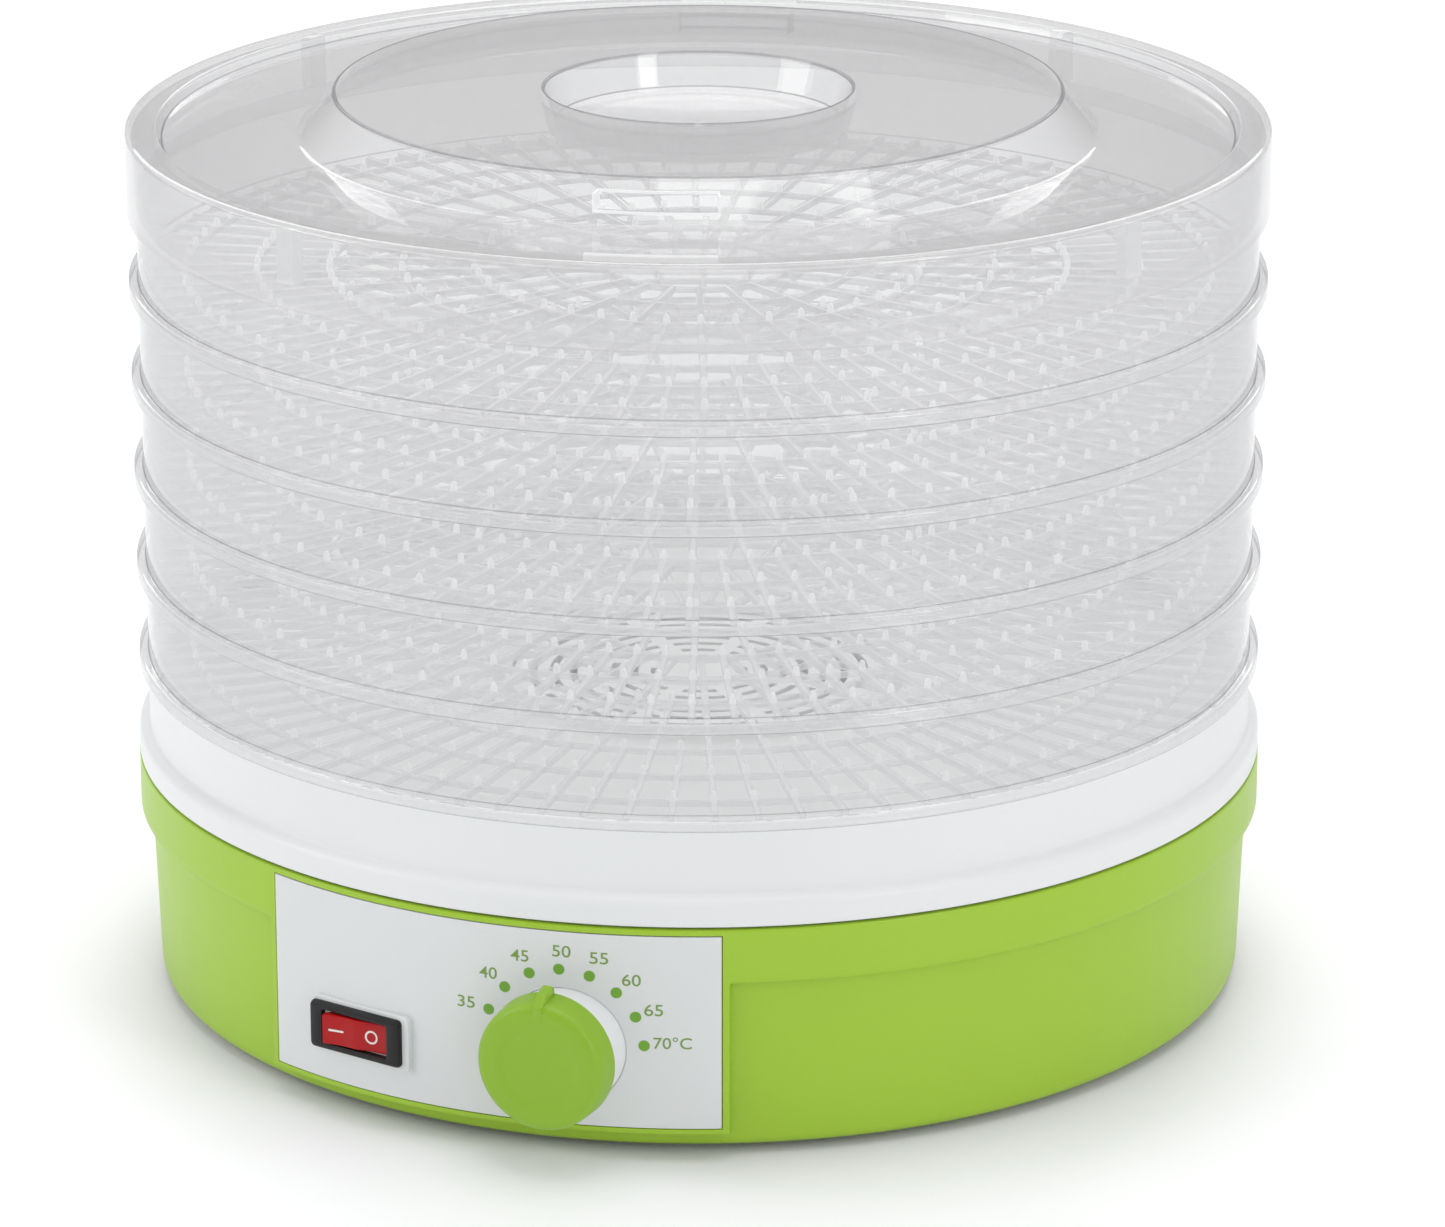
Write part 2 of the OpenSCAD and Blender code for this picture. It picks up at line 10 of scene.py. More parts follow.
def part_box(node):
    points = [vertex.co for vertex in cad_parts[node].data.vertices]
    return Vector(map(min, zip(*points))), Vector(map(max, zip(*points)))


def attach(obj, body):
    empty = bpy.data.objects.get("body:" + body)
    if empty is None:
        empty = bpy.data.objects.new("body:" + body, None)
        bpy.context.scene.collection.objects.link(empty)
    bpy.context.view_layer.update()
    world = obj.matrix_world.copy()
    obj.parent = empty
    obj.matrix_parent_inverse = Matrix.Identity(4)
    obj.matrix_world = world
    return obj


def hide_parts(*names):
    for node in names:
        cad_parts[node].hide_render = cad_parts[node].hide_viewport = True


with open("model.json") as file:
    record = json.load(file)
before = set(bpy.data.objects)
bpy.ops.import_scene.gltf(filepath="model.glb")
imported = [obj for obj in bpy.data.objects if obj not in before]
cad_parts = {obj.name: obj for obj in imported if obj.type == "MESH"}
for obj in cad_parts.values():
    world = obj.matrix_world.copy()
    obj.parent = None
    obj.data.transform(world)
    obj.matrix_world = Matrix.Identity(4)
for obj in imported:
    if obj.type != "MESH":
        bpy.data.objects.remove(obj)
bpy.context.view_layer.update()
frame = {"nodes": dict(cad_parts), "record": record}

MM = 0.001
TURN_STEPS = 240  # facets of a large turned shape
FRONT = -math.pi / 2  # the front of the object, as an angle from +X


def mm_box(node):
    """Lowest and highest corner of a CAD node, in millimetres."""
    low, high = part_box(node)
    return [v / MM for v in low], [v / MM for v in high]


# ---- sizes, in millimetres, from the frame ----

TRAYS = [f"tray_{i}" for i in range(1, 6)]
STACK_R = mm_box("tray_1")[1][0]
FLANGE_DROP = 2.0  # the flange of a tray reaches this far below its seat
FLANGE_REACH = 2.7
TRAY_WALL = 1.6
SEATS = [mm_box(tray)[0][2] + FLANGE_DROP for tray in TRAYS]
PITCH = SEATS[1] - SEATS[0]
STACK_TOP = SEATS[4] + PITCH
WALL_OUT = STACK_R - FLANGE_REACH
WALL_IN = WALL_OUT - TRAY_WALL
LID_LOW = mm_box("lid")[0][2]
LID_TOP = mm_box("lid")[1][2]
CROWN_H = 9.0  # the raised middle of the lid, above its rim
RIM_Z = LID_TOP - CROWN_H
DECK_RIM = SEATS[0]
SHELL_LOW = mm_box("base_shell")[0][2]
SHELL_TOP = mm_box("base_shell")[1][2]
BAND_R = STACK_R + 0.7  # the wide band at the top of the lower housing
PANEL_LOW = mm_box("control_panel")[0][2]
PANEL_TOP = mm_box("control_panel")[1][2]
PANEL_R = BAND_R + 0.1
PANEL_HALF = math.radians(24)
SURROUND_HALF = math.radians(24.9)  # the raised frame round the panel
SURROUND_LOW = PANEL_LOW - 2.2
SHAFT_LOW, SHAFT_HIGH = mm_box("thermostat_shaft")
DIAL_X = (SHAFT_LOW[0] + SHAFT_HIGH[0]) / 2
DIAL_Z = (SHAFT_LOW[2] + SHAFT_HIGH[2]) / 2
DIAL_ANGLE = math.asin(DIAL_X / PANEL_R)
DIAL_BACK = -150.0  # y of the plane behind the dial that its parts are placed from
KNOB_FRONT = mm_box("temperature_knob")[0][1]
KNOB_DEPTH = 10.0
KNOB_R = 19.0
RING_FRONT = mm_box("dial_boss")[0][1]
RING_R = 17.5
SWITCH_ANGLE = math.radians(-13.1)
SWITCH_LOW, SWITCH_HIGH = mm_box("switch_housing")
SWITCH_Z = (SWITCH_LOW[2] + SWITCH_HIGH[2]) / 2


# ---- materials ----

NOISE_LOW, NOISE_HIGH = 0.3, 0.7  # nearly all of a noise lies between these
GRAIN_DEPTH = 0.00004
BRUSH_DEPTH = 0.0001
MILK_POWER = 2.2  # how fast clear plastic turns milky edge on
MIRROR_POWER = 5  # how fast its surface turns into a mirror edge on
MIRROR = 0.85
MIRROR_FACE_ON = 0.045 * MIRROR


def new_material(name):
    material = bpy.data.materials.new(name)
    material.use_nodes = True
    nodes = material.node_tree.nodes
    return material, nodes, material.node_tree.links, nodes["Principled BSDF"]


def map_range(nodes, links, value, low, high):
    """Stretches an output that runs from 0 to 1 to another range."""
    span = nodes.new("ShaderNodeMapRange")
    span.inputs["To Min"].default_value = low
    span.inputs["To Max"].default_value = high
    links.new(value, span.inputs["Value"])
    return span


def noise_range(nodes, links, scale, low, high, detail=3.0):
    """A noise over the object, mapped to a range of values."""
    coords = nodes.new("ShaderNodeTexCoord")
    noise = nodes.new("ShaderNodeTexNoise")
    noise.inputs["Scale"].default_value = scale
    noise.inputs["Detail"].default_value = detail
    links.new(coords.outputs["Object"], noise.inputs["Vector"])
    span = map_range(nodes, links, noise.outputs["Fac"], low, high)
    span.inputs["From Min"].default_value = NOISE_LOW
    span.inputs["From Max"].default_value = NOISE_HIGH
    return span.outputs["Result"]


def blend(nodes, links, factor, first, second):
    """Mixes two colours by an output. The first may be the output of a node."""
    mix = nodes.new("ShaderNodeMix")
    mix.data_type = "RGBA"
    if isinstance(first, tuple):
        mix.inputs["A"].default_value = (*first, 1)
    else:
        links.new(first, mix.inputs["A"])
    mix.inputs["B"].default_value = (*second, 1)
    links.new(factor, mix.inputs["Factor"])
    return mix.outputs["Result"]


def add_bump(nodes, links, shader, height, strength, distance):
    bump = nodes.new("ShaderNodeBump")
    bump.inputs["Strength"].default_value = strength
    bump.inputs["Distance"].default_value = distance
    links.new(height, bump.inputs["Height"])
    links.new(bump.outputs["Normal"], shader.inputs["Normal"])


def moulded(name, colour, rough, grain=0.0, shine=0.5, bounce=None):
    """Moulded plastic: an even colour, roughness that wanders a little and a fine grain.

    bounce is the colour that it throws on what is near.
    """
    material, nodes, links, shader = new_material(name)
    shader.inputs["Specular IOR Level"].default_value = shine
    deeper = tuple(c * 0.985 for c in colour)
    shown = blend(nodes, links, noise_range(nodes, links, 18, 0, 1), colour, deeper)
    if bounce:
        path = nodes.new("ShaderNodeLightPath")
        shown = blend(nodes, links, path.outputs["Is Diffuse Ray"], shown, bounce)
    links.new(shown, shader.inputs["Base Color"])
    roughness = noise_range(nodes, links, 60, rough * 0.97, rough * 1.03)
    links.new(roughness, shader.inputs["Roughness"])
    if grain:
        height = noise_range(nodes, links, 2600, 0, 1, 1)
        add_bump(nodes, links, shader, height, grain, GRAIN_DEPTH)
    return material


def metal(name, colour, rough, brushed=0.0):
    """Bare metal with a roughness that wanders and fine marks."""
    material, nodes, links, shader = new_material(name)
    shader.inputs["Base Color"].default_value = (*colour, 1)
    shader.inputs["Metallic"].default_value = 1
    roughness = noise_range(nodes, links, 240, rough * 0.8, rough * 1.25)
    links.new(roughness, shader.inputs["Roughness"])
    if brushed:
        height = noise_range(nodes, links, 900, 0, 1, 2)
        add_bump(nodes, links, shader, height, brushed, BRUSH_DEPTH)
    return material


def clear(name, face_on, edge_on, colour, edge_colour, rough=0.04, passes=0.97, ripple=0.0):
    """Clear plastic: faintly milky, more so edge on, under a polished surface.

    face_on and edge_on are the milkiness, colour and edge_colour its colour, passes is how much
    light goes through what isn't milky, and ripple is the depth of the waves in the surface.
    """
    material, nodes, links, milk = new_material(name)
    milk.inputs["Specular IOR Level"].default_value = 0.0
    milk.inputs["Roughness"].default_value = 0.6
    weight = nodes.new("ShaderNodeLayerWeight")
    weight.inputs["Blend"].default_value = 0.5

    def by_facing(exponent, low, high):
        power = nodes.new("ShaderNodeMath")
        power.operation = "POWER"
        power.inputs[1].default_value = exponent
        links.new(weight.outputs["Facing"], power.inputs[0])
        return map_range(nodes, links, power.outputs["Value"], low, high).outputs["Result"]

    tint = blend(nodes, links, by_facing(MILK_POWER, 0, 1), colour, edge_colour)
    links.new(tint, milk.inputs["Base Color"])
    through = nodes.new("ShaderNodeBsdfTransparent")
    through.inputs["Color"].default_value = (passes, passes, passes, 1)
    body = nodes.new("ShaderNodeMixShader")
    links.new(by_facing(MILK_POWER, face_on, edge_on), body.inputs["Fac"])
    links.new(through.outputs["BSDF"], body.inputs[1])
    links.new(milk.outputs["BSDF"], body.inputs[2])
    gloss = nodes.new("ShaderNodeBsdfAnisotropic")
    gloss.inputs["Color"].default_value = (1, 1, 1, 1)
    roughness = noise_range(nodes, links, 30, rough * 0.8, rough * 1.3, 0)
    links.new(roughness, gloss.inputs["Roughness"])
    if ripple:
        add_bump(nodes, links, gloss, noise_range(nodes, links, 12, 0, 1, 1), 1, ripple)
    surface = nodes.new("ShaderNodeMixShader")
    links.new(by_facing(MIRROR_POWER, MIRROR_FACE_ON, MIRROR), surface.inputs["Fac"])
    links.new(body.outputs["Shader"], surface.inputs[1])
    links.new(gloss.outputs["BSDF"], surface.inputs[2])
    links.new(surface.outputs["Shader"], nodes["Material Output"].inputs["Surface"])
    return material


GREEN = moulded("green_plastic", (0.345, 0.560, 0.025), 0.36, 0.25, bounce=(0.40, 0.46, 0.30))
KNOB_GREEN = moulded("knob_green", (0.255, 0.460, 0.018), 0.40, 0.3)
WHITE = moulded("white_plastic", (0.80, 0.81, 0.815), 0.38, 0.12)
PANEL_WHITE = moulded("panel_white", (0.72, 0.735, 0.735), 0.38)
RING_WHITE = moulded("ring_white", (0.80, 0.81, 0.82), 0.4)
BLACK = moulded("black_plastic", (0.011, 0.009, 0.009), 0.36, 0.1, shine=0.32)
RED = moulded("rocker_red", (0.42, 0.005, 0.007), 0.25, shine=0.28)
PRINT_GREEN = moulded("print_green", (0.165, 0.39, 0.03), 0.5)
PRINT_OLIVE = moulded("print_olive", (0.19, 0.33, 0.065), 0.5)
MARK_WHITE = moulded("mark_white", (0.80, 0.76, 0.72), 0.5)
RUBBER = moulded("foot_rubber", (0.03, 0.03, 0.032), 0.75, 0.6)
PHENOLIC = moulded("phenolic", (0.34, 0.27, 0.18), 0.55, 0.3)
MICA = moulded("mica", (0.42, 0.35, 0.22), 0.5, 0.3)
CERAMIC = moulded("ceramic_white", (0.75, 0.74, 0.70), 0.45, 0.2)
STEEL = metal("steel", (0.60, 0.61, 0.63), 0.28, 0.15)
ZINC = metal("zinc_plate", (0.66, 0.67, 0.69), 0.34, 0.2)
LAMINATION = metal("lamination", (0.22, 0.22, 0.24), 0.5, 0.4)
COPPER = metal("copper", (0.72, 0.34, 0.18), 0.3, 0.2)
BRASS = metal("brass", (0.78, 0.62, 0.30), 0.3)
WIRE = metal("heating_wire", (0.30, 0.27, 0.25), 0.45, 0.3)
CLEAR_WALL = clear(
    "clear_wall", 0.20, 0.60, (0.74, 0.74, 0.745), (0.40, 0.40, 0.41), passes=0.965, ripple=0.0002)
CLEAR_GRID = clear("clear_grid", 0.34, 0.62, (0.62, 0.62, 0.623), (0.58, 0.58, 0.585))
CLEAR_NUB = clear("clear_nub", 0.48, 0.85, (0.92, 0.92, 0.92), (0.84, 0.84, 0.84), 0.03)
CLEAR_LID = clear(
    "clear_lid", 0.13, 0.42, (0.70, 0.695, 0.70), (0.42, 0.41, 0.42), 0.03, ripple=0.00022)
# Painted shade: a dark clear material for the dark lines along creases and edges of the clear
# plastic.
CLEAR_PAINTED_SHADE = clear(
    "clear_painted_shade_edge", 0.45, 0.90, (0.20, 0.20, 0.21), (0.12, 0.12, 0.125), 0.08)
# Painted highlight: a pale clear material for the bright lines along edges of the clear plastic.
CLEAR_PAINTED_HIGHLIGHT = clear("clear_painted_highlight_edge", 0.30, 0.60, (0.74, 0.74, 0.74), (0.66, 0.66, 0.66))
# Painted highlight on the front vent lips of the lid.
CLEAR_LIP_HIGHLIGHT = clear("clear_lip_painted_highlight", 0.55, 0.90, (0.95, 0.95, 0.95), (0.90, 0.90, 0.90))
# Painted shade: white plastic drawn grey where it lies in shade inside the deck.
PAINTED_SHADE_WHITE = moulded("painted_shade_white", (0.48, 0.495, 0.488), 0.45)
# Painted shade: the white outlet grille drawn grey.
GRILLE_PAINTED_SHADE = moulded("grille_painted_shade", (0.52, 0.53, 0.525), 0.5)

CAD_MATERIALS = {
    "white_plastic": WHITE, "panel_white": PANEL_WHITE, "black_plastic": BLACK,
    "rocker_red": RED, "steel": STEEL, "zinc_plate": ZINC, "lamination": LAMINATION,
    "copper": COPPER, "brass": BRASS, "phenolic": PHENOLIC, "mica": MICA,
    "heating_wire": WIRE, "ceramic_white": CERAMIC, "foot_rubber": RUBBER,
    "green_plastic": GREEN, "knob_green": KNOB_GREEN, "clear_plastic": CLEAR_WALL,
}


def paint_cad_nodes():
    """Every CAD node takes the material of its slot in the record."""
    for part in frame["record"]["subparts"]:
        mesh = frame["nodes"][part["node"]].data
        mesh.materials.clear()
        mesh.materials.append(CAD_MATERIALS[part["material_slot"]])
    # The outlet grille is white plastic drawn grey: painted shade inside the deck.
    frame["nodes"]["outlet_grille"].data.materials[0] = GRILLE_PAINTED_SHADE


# ---- meshes ----

SHARP = 38  # an edge is left sharp above this many degrees


def mesh_in_metres(name, bm, outward=True):
    """Turns a mesh in millimetres into a Blender mesh in metres."""
    if outward:
        bmesh.ops.recalc_face_normals(bm, faces=bm.faces)
    bmesh.ops.scale(bm, vec=(MM, MM, MM), verts=bm.verts)
    mesh = bpy.data.meshes.new(name)
    bm.to_mesh(mesh)
    bm.free()
    return mesh


def smooth(mesh, sharp=SHARP):
    mesh.shade_smooth()
    mesh.set_sharp_from_angle(angle=math.radians(sharp))


def piece(name, bm, material, body, replaces=(), sharp=SHARP):
    """Makes an object from a mesh in millimetres and hangs it on a CAD body."""
    mesh = mesh_in_metres(name, bm)
    smooth(mesh, sharp)
    mesh.materials.append(material)
    return hang(bpy.data.objects.new(name, mesh), body, replaces)


def hang(thing, body, replaces=()):
    """Adds an object to the scene, ties it to its body and hides the nodes it replaces."""
    if not thing.users_collection:
        bpy.context.scene.collection.objects.link(thing)
    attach(thing, body)
    if replaces:
        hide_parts(*replaces)
    return thing


def join(bm, other):
    """Adds a mesh to another and frees it."""
    mesh = bpy.data.meshes.new("part")
    other.to_mesh(mesh)
    other.free()
    bm.from_mesh(mesh)
    bpy.data.meshes.remove(mesh)


def fillet(points, closed=True, steps=4):
    """Rounds the corners of an outline. A point is (r, z) or (r, z, radius).

    A point just outside each end of a round keeps the flats beside it flat.
    """
    out = []
    last = len(points) - 1
    share = 0.49  # a round takes up at most this part of a side
    for i, point in enumerate(points):
        here = Vector(point[:2])
        radius = point[2] if len(point) > 2 else 0
        if not radius or (not closed and i in (0, last)):
            out.append(here)
            continue
        before = Vector(points[i - 1][:2]) - here
        after = Vector(points[(i + 1) % len(points)][:2]) - here
        half = before.angle(after) / 2
        reach = min(radius / math.tan(half), before.length * share, after.length * share)
        start = here + before.normalized() * reach
        end = here + after.normalized() * reach
        hold = [min(0.5, side.length * share - reach) for side in (before, after)]
        if hold[0] > 0.1:
            out.append(start + before.normalized() * hold[0])
        for k in range(steps + 1):
            t = k / steps
            out.append(start * (1 - t) ** 2 + here * 2 * t * (1 - t) + end * t * t)
        if hold[1] > 0.1:
            out.append(end + after.normalized() * hold[1])
    return out


def skin(bm, rings, close_rings, close_profile):
    """Joins rings of points with faces. A column of rings that is all one point stays one point."""
    count = len(rings[0])
    rows = range(len(rings) if close_rings else len(rings) - 1)
    columns = range(count if close_profile else count - 1)
    poles = [
        all((ring[k] - rings[0][k]).length < 1e-6 for ring in rings) and bm.verts.new(rings[0][k])
        for k in range(count)
    ]
    grid = [[poles[k] or bm.verts.new(ring[k]) for k in range(count)] for ring in rings]
    for i in rows:
        for k in columns:
            a, b = grid[i], grid[(i + 1) % len(grid)]
            corners = [a[k], a[(k + 1) % count], b[(k + 1) % count], b[k]]
            corners = list(dict.fromkeys(corners))
            if len(corners) > 2:
                bm.faces.new(corners)
    return grid


def capped_skin(bm, rings):
    """Joins closed rings of points into a solid with a face at each end."""
    grid = skin(bm, rings, False, True)
    bm.faces.new(grid[0])
    bm.faces.new(grid[-1])


def lathe(profile, closed, steps=TURN_STEPS, bm=None, place=None):
    """Turns a profile of (r, z) points round the stack, or round the axis of a placement."""
    bm = bm or bmesh.new()
    place = place or Matrix.Identity(4)
    rings = []
    for i in range(steps):
        turn = 2 * math.pi * i / steps
        c, s = math.cos(turn), math.sin(turn)
        rings.append([place @ Vector((p[0] * c, p[0] * s, p[1])) for p in profile])
    skin(bm, rings, True, closed)
    return bm


def rounded_rect(width, height, radius, steps=6):
    """Points of a rounded rectangle about the origin."""
    points = []
    for corner in range(4):
        sx = 1 if corner in (0, 3) else -1
        sy = 1 if corner < 2 else -1
        for k in range(steps + 1):
            a = math.pi / 2 * (corner + k / steps)
            points.append((sx * (width / 2 - radius) + radius * math.cos(a),
                           sy * (height / 2 - radius) + radius * math.sin(a)))
    return points


def stack_loops(bm, loops, place, capped=True):
    """Lofts loops of (x, y) points at given heights. place turns (x, y, height) into a point."""
    grid = [[bm.verts.new(place(x, y, h)) for x, y in points] for points, h in loops]
    count = len(grid[0])
    for a, b in zip(grid, grid[1:]):
        for k in range(count):
            bm.faces.new([a[k], a[(k + 1) % count], b[(k + 1) % count], b[k]])
    if capped:
        bm.faces.new(grid[0])
        bm.faces.new(grid[-1])


def shifted(points, dx):
    return [(x + dx, y) for x, y in points]


def on_panel(angle, height):
    """Placement on the curved panel: x runs round to the right, y up and h out of the panel."""
    def place(x, y, h):
        a = angle + x / PANEL_R
        r = PANEL_R + h
        return Vector((r * math.sin(a), -r * math.cos(a), height + y))
    return place


def flat_at(angle, height):
    """Placement on the flat that touches the panel at an angle."""
    out = Vector((math.sin(angle), -math.cos(angle), 0))
    side = Vector((math.cos(angle), math.sin(angle), 0))
    def place(x, y, h):
        return out * (PANEL_R + h) + side * x + Vector((0, 0, height + y))
    return place


def evaluated_mesh(thing):
    """The mesh of an object with its modifiers, or of a text."""
    depsgraph = bpy.context.evaluated_depsgraph_get()
    return bpy.data.meshes.new_from_object(thing.evaluated_get(depsgraph))


def cut(target, cutter_bm):
    """Cuts a mesh in millimetres out of an object, and keeps only the result."""
    cutter = bpy.data.objects.new("cutter", mesh_in_metres("cutter", cutter_bm))
    bpy.context.scene.collection.objects.link(cutter)
    boolean = target.modifiers.new("cut", "BOOLEAN")
    boolean.operation = "DIFFERENCE"
    boolean.solver = "EXACT"
    boolean.object = cutter
    result = evaluated_mesh(target)
    target.modifiers.clear()
    target.data = result
    smooth(result)
    bpy.data.objects.remove(cutter)


def tint_edges(mesh, bands):
    """Paints highlight and shade lines: gives the faces near an edge a material of their own, a
    painted highlight or painted shade. A band is (r, z, reach, material).
    """
    for r, z, reach, material in bands:
        if material.name not in mesh.materials:
            mesh.materials.append(material)
        index = mesh.materials.find(material.name)
        for face in mesh.polygons:
            centre = face.center / MM
            if math.hypot(math.hypot(centre.x, centre.y) - r, centre.z - z) < reach:
                face.material_index = index


def slot_ring(bm, r_in, r_out, z0, z1, start, sweep, steps=12):
    """A closed block that follows a circle."""
    rings = []
    for i in range(steps + 1):
        a = start + sweep * i / steps
        rings.append([
            Vector((r * math.cos(a), r * math.sin(a), z))
            for r, z in ((r_in, z0), (r_out, z0), (r_out, z1), (r_in, z1))
        ])
    capped_skin(bm, rings)


# ---- lower housing ----

SIDE_LOW = 5.5  # the side of the housing starts above the round at its foot
SIDE_H = 46.4
FOOT_ROUND = 3
SIDE_LEAN = 1.6
BAND_LOW = 51.8
PANEL_SUNK = 1.35
FOOT_RING_R = 132


def smooth_step(distance, width):
    """A soft step from 0 to 1 over a width."""
    t = min(max(distance / width, 0), 1)
    return t * t * (3 - 2 * t)


def around_edges(edges, spread, low, high, fill):
    """Sorted places between low and high: evenly spaced, and close together at the edges."""
    places = {low, high}
    places.update(low + (high - low) * i / fill for i in range(fill))
    places.update(edge + s * d for edge in edges for s in (-1, 1) for d in spread)
    return sorted(p for p in places if low <= p <= high)


def housing_radius(angle, z):
    """Outer radius of the lower housing. angle is measured from the front."""
    body = STACK_R - 4.2 + SIDE_LEAN * (z - SIDE_LOW) / SIDE_H
    body += (BAND_R - body) * smooth_step(z - BAND_LOW, 1.3)
    inside = min((SURROUND_HALF - abs(angle)) * BAND_R, z - SURROUND_LOW)
    radius = body + (BAND_R - body) * smooth_step(inside + 0.5, 1.1)
    panel = min((PANEL_HALF - abs(angle)) * BAND_R, z - PANEL_LOW, PANEL_TOP - z)
    return radius - PANEL_SUNK * smooth_step(panel + 0.32, 0.14)


def lower_housing():
    """Green housing. Its points stand close together where the panel's frame and the band step."""
    spread = (0.05, 0.15, 0.3, 0.5, 0.8)
    gap = 0.25
    angles = around_edges(
        [SURROUND_HALF, -SURROUND_HALF, PANEL_HALF, -PANEL_HALF,
         PANEL_HALF + gap / BAND_R, -PANEL_HALF - gap / BAND_R],
        [s / BAND_R for s in spread], -math.pi, math.pi - 0.001, TURN_STEPS)
    heights = around_edges(
        [SURROUND_LOW, PANEL_LOW, PANEL_LOW - gap, 52.4, PANEL_TOP + gap],
        spread, SIDE_LOW, SHELL_TOP - 0.6, 24)
    inner = fillet([
        (BAND_R - 2.2, SHELL_TOP), (BAND_R - 2.5, 56), (STACK_R - 5.1, 51),
        (STACK_R - 6.7, 9, 4), (STACK_R - 10, 5), (0, 5),
    ], closed=False)
    inner = [tuple(p) for p in inner]
    rings = []
    for a in angles:
        foot = housing_radius(a, SIDE_LOW)
        outer = [(0, SHELL_LOW)] + [
            (foot - FOOT_ROUND + FOOT_ROUND * math.sin(t), SIDE_LOW - FOOT_ROUND * math.cos(t))
            for t in [math.pi / 2 * k / 6 for k in range(6)]
        ]
        outer += [(housing_radius(a, z), z) for z in heights]
        top = housing_radius(a, SHELL_TOP - 0.6)
        outer += [(top - 0.15, SHELL_TOP - 0.2), (top - 0.5, SHELL_TOP)]
        rings.append([Vector((r * math.sin(a), -r * math.cos(a), z)) for r, z in outer + inner])
    bm = bmesh.new()
    skin(bm, rings, True, False)
    shell = piece("lower_housing", bm, GREEN, "base", ["base_shell"], 50)
    slots = bmesh.new()
    for row in range(4):
        r = 20 + 8 * row
        for part in range(6):
            slot_ring(slots, r, r + 4, 0, 8, math.radians(4 + 60 * part), math.radians(52))
    cut(shell, slots)


def feet():
    """Four rubber feet, each with a shallow hollow below."""
    for i, angle in enumerate((45, 135, 225, 315)):
        x = FOOT_RING_R * math.cos(math.radians(angle))
        y = FOOT_RING_R * math.sin(math.radians(angle))
        profile = fillet([
            (0, 0.3), (5, 0.3), (6, 0), (9, 0, 0.8), (9, 3.5, 0.4), (0, 3.5)
        ], closed=False)
        bm = lathe(profile, False, 48, place=Matrix.Translation((x, y, 0)))
        piece(f"foot_{i + 1}", bm, RUBBER, "base", ["rubber_feet"])


# ---- white deck ----

def deck():
    """White upper housing with its lip and the seat of the first tray, and the floor inside in a
    grey that is painted shade.
    """
    lip = STACK_R + 0.6
    under = DECK_RIM - 15
    profile = fillet([
        (WALL_IN - 1.9, under), (WALL_IN - 1.9, under - 4), (WALL_IN - 0.2, under - 7),
        (WALL_IN - 0.2, SHELL_TOP - 4), (WALL_OUT + 0.6, SHELL_TOP - 4),
        (WALL_OUT + 0.6, SHELL_TOP + 0.7, 0.2), (lip, SHELL_TOP + 0.7, 0.6),
        (lip, SHELL_TOP + 8.2, 2.6), (WALL_OUT + 0.15, SHELL_TOP + 9.6, 1.2),
        (WALL_OUT, DECK_RIM, 0.5), (WALL_IN, DECK_RIM, 0.5), (WALL_IN, under),
    ])
    piece("deck", lathe(profile, True), WHITE, "base", ["base_deck"])
    profile = fillet([
        (52.5, under), (WALL_IN - 0.05, under), (WALL_IN - 0.05, DECK_RIM - 9),
        (WALL_IN - 1, DECK_RIM - 12.5, 2.0), (61, DECK_RIM - 12.5, 1.5),
        (58, DECK_RIM - 9.5, 1.0), (55.3, DECK_RIM - 9.5, 0.6),
        (55.3, DECK_RIM - 13.5), (52.5, DECK_RIM - 13.5),
    ])
    # The floor inside is white plastic drawn grey: painted shade for the light lost through the
    # trays above.
    piece("deck_floor", lathe(profile, True), PAINTED_SHADE_WHITE, "base", ["base_deck"])


def cord_bush():
    """Bush in the back wall."""
    profile = fillet([
        (3.3, 0), (7.6, 0, 0.4), (7.6, 1.8), (5.3, 1.8), (5.3, 10.9), (7.4, 10.9, 0.5),
        (6.6, 14, 1.2), (3.3, 14, 0.8),
    ])
    low, high = mm_box("cord_gland")
    place = Matrix.Translation((0, low[1], (low[2] + high[2]) / 2))
    bm = lathe(profile, True, 64, place=place @ Matrix.Rotation(-math.pi / 2, 4, "X"))
    piece("cord_bush", bm, BLACK, "base", ["cord_gland"])


# ---- control panel ----

PANEL_T = 1.1
DIAL_HOLE_R = 17.65
PRINT_LIFT = 0.03
DOT_RING_R = 23
DOT_R = 1.6
SCALE_STEP = 21.8  # degrees on the dial for each 5 degrees C
SCALE_AT_50 = 91.9
LABEL_PLACES = {
    35: (-28, 10.2), 40: (-21.3, 19.7), 45: (-12, 25.9), 50: (0, 28.3),
    55: (10.5, 27), 60: (19.5, 21), 65: (25.6, 12.4), 70: (30.8, 2.8),
}


